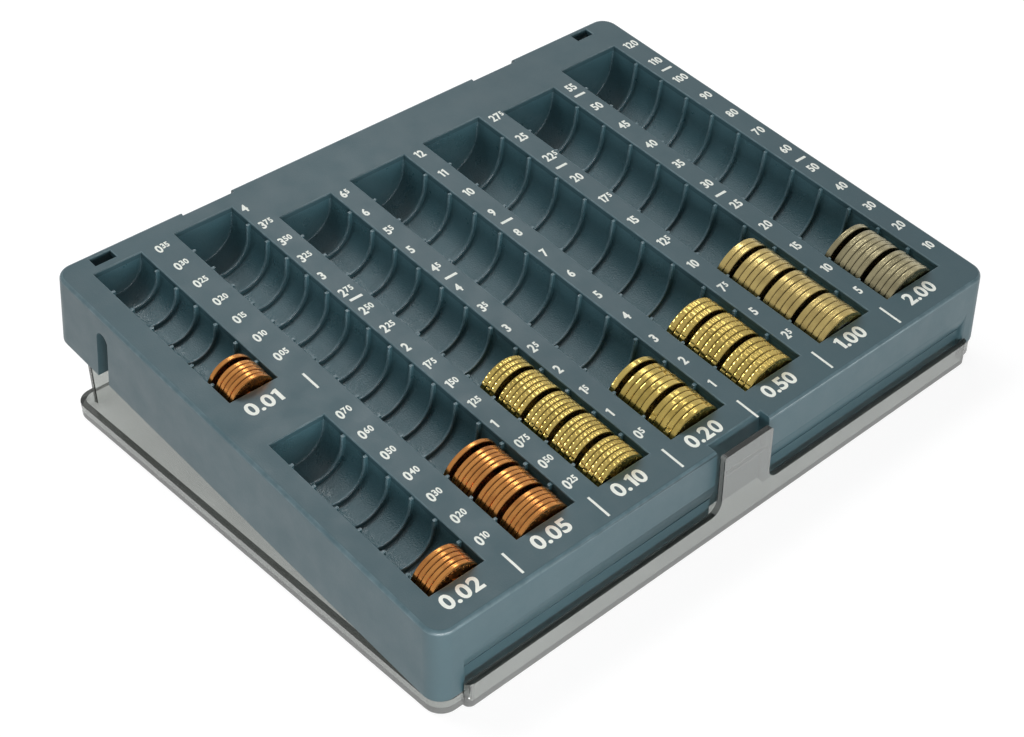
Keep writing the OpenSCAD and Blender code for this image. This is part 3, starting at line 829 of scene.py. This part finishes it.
# %% Smoked lid piece
LID_BEVEL = 0.3
SHORT_EDGE = 0.8
WALL_TOP_Z = 5
WALL_TOP_SHADE = 0.86
lid_bm = cad_copy("lid", LID_MM)
edges = [e for e in lid_bm.edges if sharp(e, 60) and e.is_convex and e.calc_length() > SHORT_EDGE]
# Bevels and wall tops are painted nearly black: painted shade for the dark outlines of clear plastic.
made = soften(lid_bm, edges, LID_BEVEL)
worn = wear_and_light_layer(lid_bm)
for face in lid_bm.faces:
    if face.normal.z > 0.9 and face.calc_center_median().z > WALL_TOP_Z:
        face[worn] = WALL_TOP_SHADE
lid_mesh = finished_mesh("smoked_lid", lid_bm, LID_MM, smoked_plastic)
add_piece("smoked_lid", lid_mesh, "lid", ["lid"])
print("lid edges", len(edges), "bevel faces", made, "faces", len(lid_mesh.polygons))

# %% [markdown]
# ## Coins
# One coin of each kind is turned on a lathe in code: a sunk face inside a raised rim, a ring of beads, a
# plain number, and the edge its kind has, smooth, scalloped, notched or finely milled. A second Geometry
# Nodes tree stands the coins on edge behind each other, turns each one by a seeded angle and shifts it a
# hair to one side.

# %% Digits
FLAGGED_ONE = [(0.20, 0.0), (0.43, 0.0), (0.43, 1.0), (0.27, 1.0),
               (0.0, 0.84), (0.07, 0.69), (0.20, 0.76)]
FONT_HEIGHT = 0.73
DIGITS_APART = 0.06
INK_THICKNESS = 0.04
SUM_HEIGHT = 3.5
GLYPHS = {}


def one_curve():
    """The digit 1 as a stem with a flag, one font height tall."""
    curve = bpy.data.curves.new("one", "CURVE")
    curve.dimensions = "2D"
    curve.fill_mode = "BOTH"
    line = curve.splines.new("POLY")
    line.points.add(len(FLAGGED_ONE) - 1)
    for point, (x, y) in zip(line.points, FLAGGED_ONE):
        point.co = (x * FONT_HEIGHT, y * FONT_HEIGHT, 0, 1)
    line.use_cyclic_u = True
    return curve


def font_curve(char, bold, steps):
    curve = bpy.data.curves.new("digit", "FONT")
    curve.body = char
    curve.resolution_u = steps
    curve.offset = bold
    return curve


def glyph(char, bold, steps):
    """One character as a solid of unit thickness, with its left edge at x = 0; made once and kept."""
    key = (char, bold, steps)
    if key not in GLYPHS:
        curve = one_curve() if char == "1" else font_curve(char, bold, steps)
        curve.extrude = 0.5
        mesh = evaluated_mesh(add_object("digit", curve), "digit")
        mesh.transform(Matrix.Translation((-min(v.co.x for v in mesh.vertices), 0, 0.5)))
        GLYPHS[key] = mesh
    return GLYPHS[key]


def number_mesh(text, height, stretch=0.86, bold=0.032, thick=INK_THICKNESS, steps=3):
    """Plain digits as a mesh in millimetres: centred on x, baseline at y = 0, standing on z = 0."""
    scale = height / FONT_HEIGHT
    gap = DIGITS_APART * height
    bm = bmesh.new()
    at = 0.0
    for char in text:
        shape = glyph(char, bold, steps).copy()
        shape.transform(Matrix.Diagonal((scale * stretch, scale, thick, 1)))
        width = max(v.co.x for v in shape.vertices)
        shape.transform(Matrix.Translation((at, 0, 0)))
        bm.from_mesh(shape)
        bpy.data.meshes.remove(shape)
        at += width + gap
    mesh = bpy.data.meshes.new("number")
    bm.to_mesh(mesh)
    bm.free()
    mesh.transform(Matrix.Translation(((gap - at) / 2, 0, 0)))
    return mesh


def text_span(mesh):
    xs = [v.co.x for v in mesh.vertices]
    ys = [v.co.y for v in mesh.vertices]
    return min(xs), max(xs), min(ys), max(ys)


sample = number_mesh("10", SUM_HEIGHT)
print("a printed ten spans", [round(v, 2) for v in text_span(sample)], "faces", len(sample.polygons))
bpy.data.meshes.remove(sample)

# %% Coin parts
COIN_GAP = 0.06
FACE_SINK = 0.16
RING_SHARE = 0.70
BEADS = 36
BEAD_RING = 0.85
BEAD_SIZE = 0.18
BEAD_RISE = 0.06
NUMBER_RISE = 0.12


def half_thickness(row):
    """Half a coin; a hair of air stays between neighbours."""
    return (row.thick - COIN_GAP) / 2


def coin_profile(radius, half, ringed):
    """Points (r, y) of a coin's section, from one sunk face over rim, edge and rim to the other."""
    ring_at = RING_SHARE * radius
    groove = [(ring_at - 0.12, half - FACE_SINK), (ring_at + 0.06, half - 0.20)] if ringed else []
    rim = [(0.90 * radius, half - FACE_SINK), (0.93 * radius, half - 0.02), (radius - 0.36, half),
           (radius - 0.12, half - 0.09), (radius - 0.02, half - 0.30), (radius - 0.03, half - 0.46)]
    return [(r, -y) for r, y in groove + rim] + [(r, y) for r, y in reversed(groove + rim)]


def add_beads(bm, radius, face_at):
    """A ring of small pyramids on both faces."""
    around = [Vector((BEAD_SIZE * x, 0, BEAD_SIZE * z)) for x, z in ((0, 1), (1, 0), (0, -1), (-1, 0))]
    ring = BEAD_RING * radius
    for face_y in (-1, 1):
        for k in range(BEADS):
            a = 2 * math.pi * k / BEADS
            spot = Vector((ring * math.sin(a), face_y * face_at, ring * math.cos(a)))
            top = bm.verts.new(spot + Vector((0, face_y * BEAD_RISE, 0)))
            foot = [bm.verts.new(spot + step) for step in around]
            for n in range(4):
                pair = (foot[n], foot[(n + 1) % 4]) if face_y > 0 else (foot[(n + 1) % 4], foot[n])
                bm.faces.new((*pair, top))


def add_number(bm, text, radius, face_at):
    """A raised number on the front face; returns its vertices."""
    height = 0.62 * radius if len(text) > 1 else 0.8 * radius
    digits = number_mesh(text, height, stretch=0.9, bold=0.03, thick=NUMBER_RISE, steps=2)
    low, high = text_span(digits)[2:]
    centred = Matrix.Translation((0, -(low + high) / 2, 0))
    onto_face = Matrix.Translation((0, 0.01 - face_at, 0))
    digits.transform(onto_face @ Matrix.Rotation(math.pi / 2, 4, "X") @ centred)
    first = len(bm.verts)
    bm.from_mesh(digits)
    bpy.data.meshes.remove(digits)
    bm.verts.ensure_lookup_table()
    return bm.verts[first:]


# %% Coin blanks
PLAIN_STEPS = 84
TOOTH_STEPS = 4
NOTCH_DEPTH = 0.3
# How dark the faces two and three rings away from the edge are painted: painted shade between coins.
GROOVE_SHADE = {2: 0.45, 3: 1.0}
COIN_SMOOTH_ANGLE = math.radians(35)


def coin_blank(value, number, teeth=0, bite=0.0, milled=0, plain_parts=0, notches=0, ringed=False):
    """A coin with its axis along y, front face towards -y, centre at the origin, in millimetres."""
    bm = bmesh.new()
    uv = bm.loops.layers.uv.new("UVMap")
    core = bm.verts.layers.float.new("core")
    worn = wear_and_light_layer(bm)
    radius = ROWS[value].diameter / 2
    half = half_thickness(ROWS[value])
    count = teeth * TOOTH_STEPS if teeth else PLAIN_STEPS

    def cut(k, r, y):
        """Scallops and notches bite into the middle of the edge and leave the two rims whole."""
        if abs(y) > half - 0.4 or r < radius - 0.1:
            return r
        if teeth and k % TOOTH_STEPS in (2, 3):
            return r - bite
        if notches and k % (count // notches) in (0, 1):
            return r - NOTCH_DEPTH
        return r

    rings = []
    for r, y in coin_profile(radius, half, ringed):
        ring = []
        for k in range(count):
            a = 2 * math.pi * k / count
            v = bm.verts.new((cut(k, r, y) * math.sin(a), y, cut(k, r, y) * math.cos(a)))
            v[core] = 1.0 if ringed and r < RING_SHARE * radius else 0.0
            ring.append(v)
        rings.append(ring)
    edge_ring = len(rings) // 2 - 1
    for n in range(len(rings) - 1):
        for k in range(count):
            k2 = (k + 1) % count
            face = bm.faces.new((rings[n][k], rings[n + 1][k], rings[n + 1][k2], rings[n][k2]))
            face[worn] = GROOVE_SHADE.get(abs(n - edge_ring), 0.0)
            resting = plain_parts and (k * 2 * plain_parts // count) % 2
            reeded = milled and n == edge_ring and not resting
            for loop, step in zip(face.loops, (k, k, k + 1, k + 1)):
                loop[uv].uv = (milled * step / count, 0.5) if reeded else (0, 0)
    for ring in (rings[0], rings[-1]):
        bm.faces.new(ring)
    bmesh.ops.recalc_face_normals(bm, faces=bm.faces)
    add_beads(bm, radius, half - FACE_SINK)
    for v in add_number(bm, number, radius, half - FACE_SINK):
        v[core] = 1.0 if ringed else 0.0
    mesh = bpy.data.meshes.new(f"blank_{value}")
    bm.to_mesh(mesh)
    bm.free()
    mesh.shade_smooth()
    mesh.set_sharp_from_angle(angle=COIN_SMOOTH_ANGLE)
    print(mesh.name, len(mesh.polygons), "faces")
    return bpy.data.objects.new(mesh.name, mesh)


BLANKS = {
    1: coin_blank(1, "1"),
    2: coin_blank(2, "2"),
    5: coin_blank(5, "5"),
    10: coin_blank(10, "10", teeth=40, bite=0.20),
    20: coin_blank(20, "20", notches=7),
    50: coin_blank(50, "50", teeth=44, bite=0.22),
    100: coin_blank(100, "1", milled=210, plain_parts=3, ringed=True),
    200: coin_blank(200, "2", milled=230, ringed=True),
}

# %% Coin stack tree
stack_tree, tree_in, tree_out = node_group("GeometryNodeTree", "coin_stack", [
    ("Coin", OBJECT, None),
    ("Count", INT, COINS_PER_CELL),
    ("Coin Step", FLOAT, 2.0),
    ("Play", FLOAT, 0.12),
    ("Seed", INT, 1),
    ("Material", MATERIAL, None),
], [("Geometry", GEOMETRY)])
t = stack_tree
places = add_node(t, "GeometryNodeMeshLine")
t.links.new(tree_in.outputs["Count"], places.inputs["Count"])
t.links.new(vector(t, 0.0, tree_in.outputs["Coin Step"]), places.inputs["Offset"])


def seeded(low, high, offset):
    """A random number for each coin, drawn with the stack's seed plus an offset."""
    made = add_node(t, "FunctionNodeRandomValue", data_type="FLOAT")
    slots = [s for s in made.inputs if s.enabled]
    feed(t, low, slots[0])
    feed(t, high, slots[1])
    t.links.new(sums(t, "ADD", tree_in.outputs["Seed"], offset), made.inputs["Seed"])
    return next(s for s in made.outputs if s.enabled)


aside = seeded(sums(t, "MULTIPLY", tree_in.outputs["Play"], -1.0), tree_in.outputs["Play"], 11)
shifted = add_node(t, "GeometryNodeSetPosition")
t.links.new(places.outputs[0], shifted.inputs["Geometry"])
t.links.new(vector(t, aside), shifted.inputs["Offset"])
turned = vector(t, 0.0, seeded(0.0, 2 * math.pi, 23))
source = add_node(t, "GeometryNodeObjectInfo")
t.links.new(tree_in.outputs["Coin"], source.inputs["Object"])
coins = add_node(t, "GeometryNodeInstanceOnPoints")
t.links.new(shifted.outputs[0], coins.inputs["Points"])
t.links.new(source.outputs["Geometry"], coins.inputs["Instance"])
t.links.new(turned, coins.inputs["Rotation"])
toned = add_node(t, "GeometryNodeStoreNamedAttribute", data_type="FLOAT", domain="INSTANCE")
toned.inputs["Name"].default_value = "coin_tone"
t.links.new(coins.outputs[0], toned.inputs["Geometry"])
t.links.new(seeded(0.0, 1.0, 37), next(s for s in toned.inputs if s.enabled and s.name == "Value"))
end_tree(t, toned.outputs[0], tree_in.outputs["Material"], tree_out)
print("stack tree", len(t.nodes), "nodes")

# %% Stacks in their cells
FRONT_PLAY = 0.36
FLOOR_PLAY = 0.3
Kind = namedtuple("Kind", "metal slot")
COPPER = Kind(copper_metal, "copper_coin")
GOLDEN = Kind(gold_metal, "golden_coin")
GOLD_RING = Kind(ring_gold_metal, "two_tone_coin")
SILVER_RING = Kind(ring_silver_metal, "two_tone_coin")
KINDS = {1: COPPER, 2: COPPER, 5: COPPER, 10: GOLDEN, 20: GOLDEN, 50: GOLDEN,
         100: GOLD_RING, 200: SILVER_RING}
total = 0
for value, row in ROWS.items():
    left_over = row.coins
    cell = 0
    while left_over:
        cell += 1
        count = min(COINS_PER_CELL, left_over)
        left_over -= count
        body = f"coins_{value}_cell_{cell}"
        mesh = grow(stack_tree, f"stack_{value}_{cell}", Coin=BLANKS[value], Count=count,
                    Coin_Step=row.thick, Seed=100 * cell + value, Material=KINDS[value].metal)
        first = row.y + (cell - 1) * cell_pitch(row) + FRONT_PLAY + half_thickness(row)
        axis_z = trough_floor(row) + FLOOR_PLAY + row.diameter / 2
        mesh.transform(TRAY_MM @ Matrix.Translation((row.x, first, axis_z)))
        add_piece(f"stack_{value}_cell_{cell}", mesh, body, [body])
        total += count
print("coins set out", total)
for blank in BLANKS.values():
    bpy.data.objects.remove(blank)

# %% [markdown]
# ## Printed numbers
# White numbers run up the band to the right of each trough and give the sum of the cells up to there. A
# few short bars stand between them, and one larger number under each trough tells its coin. The digits
# are real outlines a few hundredths of a millimetre thick, lying on the deck, all joined into one printed
# layer.

# %% Printing helpers
INK_LIFT = 0.005
RAISED_HEIGHT = 2.4
RAISED_GAP = 0.25
LABEL_HEIGHT = 5.0
ink = bmesh.new()


def print_mesh(mesh, x, y):
    mesh.transform(Matrix.Translation((x, y, DECK_Z + INK_LIFT)))
    ink.from_mesh(mesh)
    bpy.data.meshes.remove(mesh)


def print_bar(x0, x1, y0, y1):
    low = DECK_Z + INK_LIFT
    high = low + INK_THICKNESS
    made = bmesh.ops.create_cube(ink, size=1.0)["verts"]
    centre = Vector((x0 + x1, y0 + y1, low + high)) / 2
    for v in made:
        v.co = centre + Vector((v.co.x * (x1 - x0), v.co.y * (y1 - y0), v.co.z * (high - low)))


def print_sum(text, x, top, centred):
    """A number with its left edge or centre at x, below top; what follows ^ is raised and small."""
    main, _, raised = text.partition("^")
    parts = [(number_mesh(main, SUM_HEIGHT), SUM_HEIGHT)]
    if raised:
        parts.append((number_mesh(raised, RAISED_HEIGHT), RAISED_HEIGHT))
    for mesh, high in parts:
        low, far = text_span(mesh)[:2]
        left = x - (far - low) / 2 if centred else x
        print_mesh(mesh, left - low, top - high)
        x += far - low + RAISED_GAP


def print_label(value, x, y):
    """The coin's value in whole units, larger and wider than the sums."""
    text = f"{value / 100:.2f}"
    print_mesh(number_mesh(text, LABEL_HEIGHT, stretch=1.12, bold=0.03, steps=4), x, y)


def running_totals(value, cells):
    """Running totals of the cells: whole units and two digits in the low rows, tenths in the others."""
    cents = [COINS_PER_CELL * value * k for k in range(1, cells + 1)]
    if value <= 5:
        return [str(c // 100) if c % 100 == 0 else f"{c // 100}^{c % 100:02d}" for c in cents]
    return [str(c // 100) if c % 100 == 0 else f"{c // 100}^{c % 100 // 10}" for c in cents]


print("sums of the last row", running_totals(200, ROWS[200].cells))

# %% Sums and their bars
BAND_X = {1: -85.3, 2: -85.3, 5: -52.6, 10: -22.6, 20: 9.7, 50: 44.0, 100: 77.3, 200: 114.2}
LEFT_X = {1: -88.6, 2: -89.0, 5: -55.75, 10: -25.7, 20: 7.45, 50: 41.6}
CENTRE_X = {100: 77.4, 200: 114.0}
BELOW_RIB = 1.2
BAR_LEFT = 2.6
BAR_RIGHT = 2.2
BAR_HALF = 0.5
LIFT = {1: 0.8, 50: -0.65, 100: -0.7}
BARS = {
    5: {10: 1.8},
    10: {8: 1.4},
    20: {8: 2.3},
    50: {8: 2.8},
    100: {5: 2.0, 10: 3.6},
    200: {5: 1.6, 10: 2.9},
}
for value, row in ROWS.items():
    centred = value in CENTRE_X
    x = CENTRE_X[value] if centred else LEFT_X[value]
    for k, text in enumerate(running_totals(value, row.cells), 1):
        print_sum(text, x, rib_front(row, k) - BELOW_RIB + LIFT.get(value, 0), centred)
    for k, past_rib in BARS.get(value, {}).items():
        bar_y = row.y + k * cell_pitch(row) + past_rib
        print_bar(BAND_X[value] - BAR_LEFT, BAND_X[value] + BAR_RIGHT, bar_y - BAR_HALF, bar_y + BAR_HALF)
print("printed sums", sum(row.cells for row in ROWS.values()))

# %% Coin labels and parting bars
FRONT_LABEL_Y = 9.1
FRONT_PARTING = (6.04, 14.68)
BACK_LABEL_Y = 96.6
BACK_PARTING = (94.2, 101.6)


def print_parting(value, y0, y1):
    """A thin upright bar between the label of a row and the next one."""
    print_bar(BAND_X[value] - 1.2, BAND_X[value] - 0.4, y0, y1)


for value in (2, 5, 10, 20, 50, 100, 200):
    print_label(value, ROWS[value].x - 2.4, FRONT_LABEL_Y)
for value in (2, 5, 10, 20, 50, 100):
    print_parting(value, *FRONT_PARTING)
print_label(1, ROWS[1].x - 1.0, BACK_LABEL_Y)
print_parting(1, *BACK_PARTING)
ink_mesh = finished_mesh("printed_numbers", ink, TRAY_MM, white_ink)
add_piece("printed_numbers", ink_mesh, "tray")
print("printed layer", len(ink_mesh.polygons), "faces")
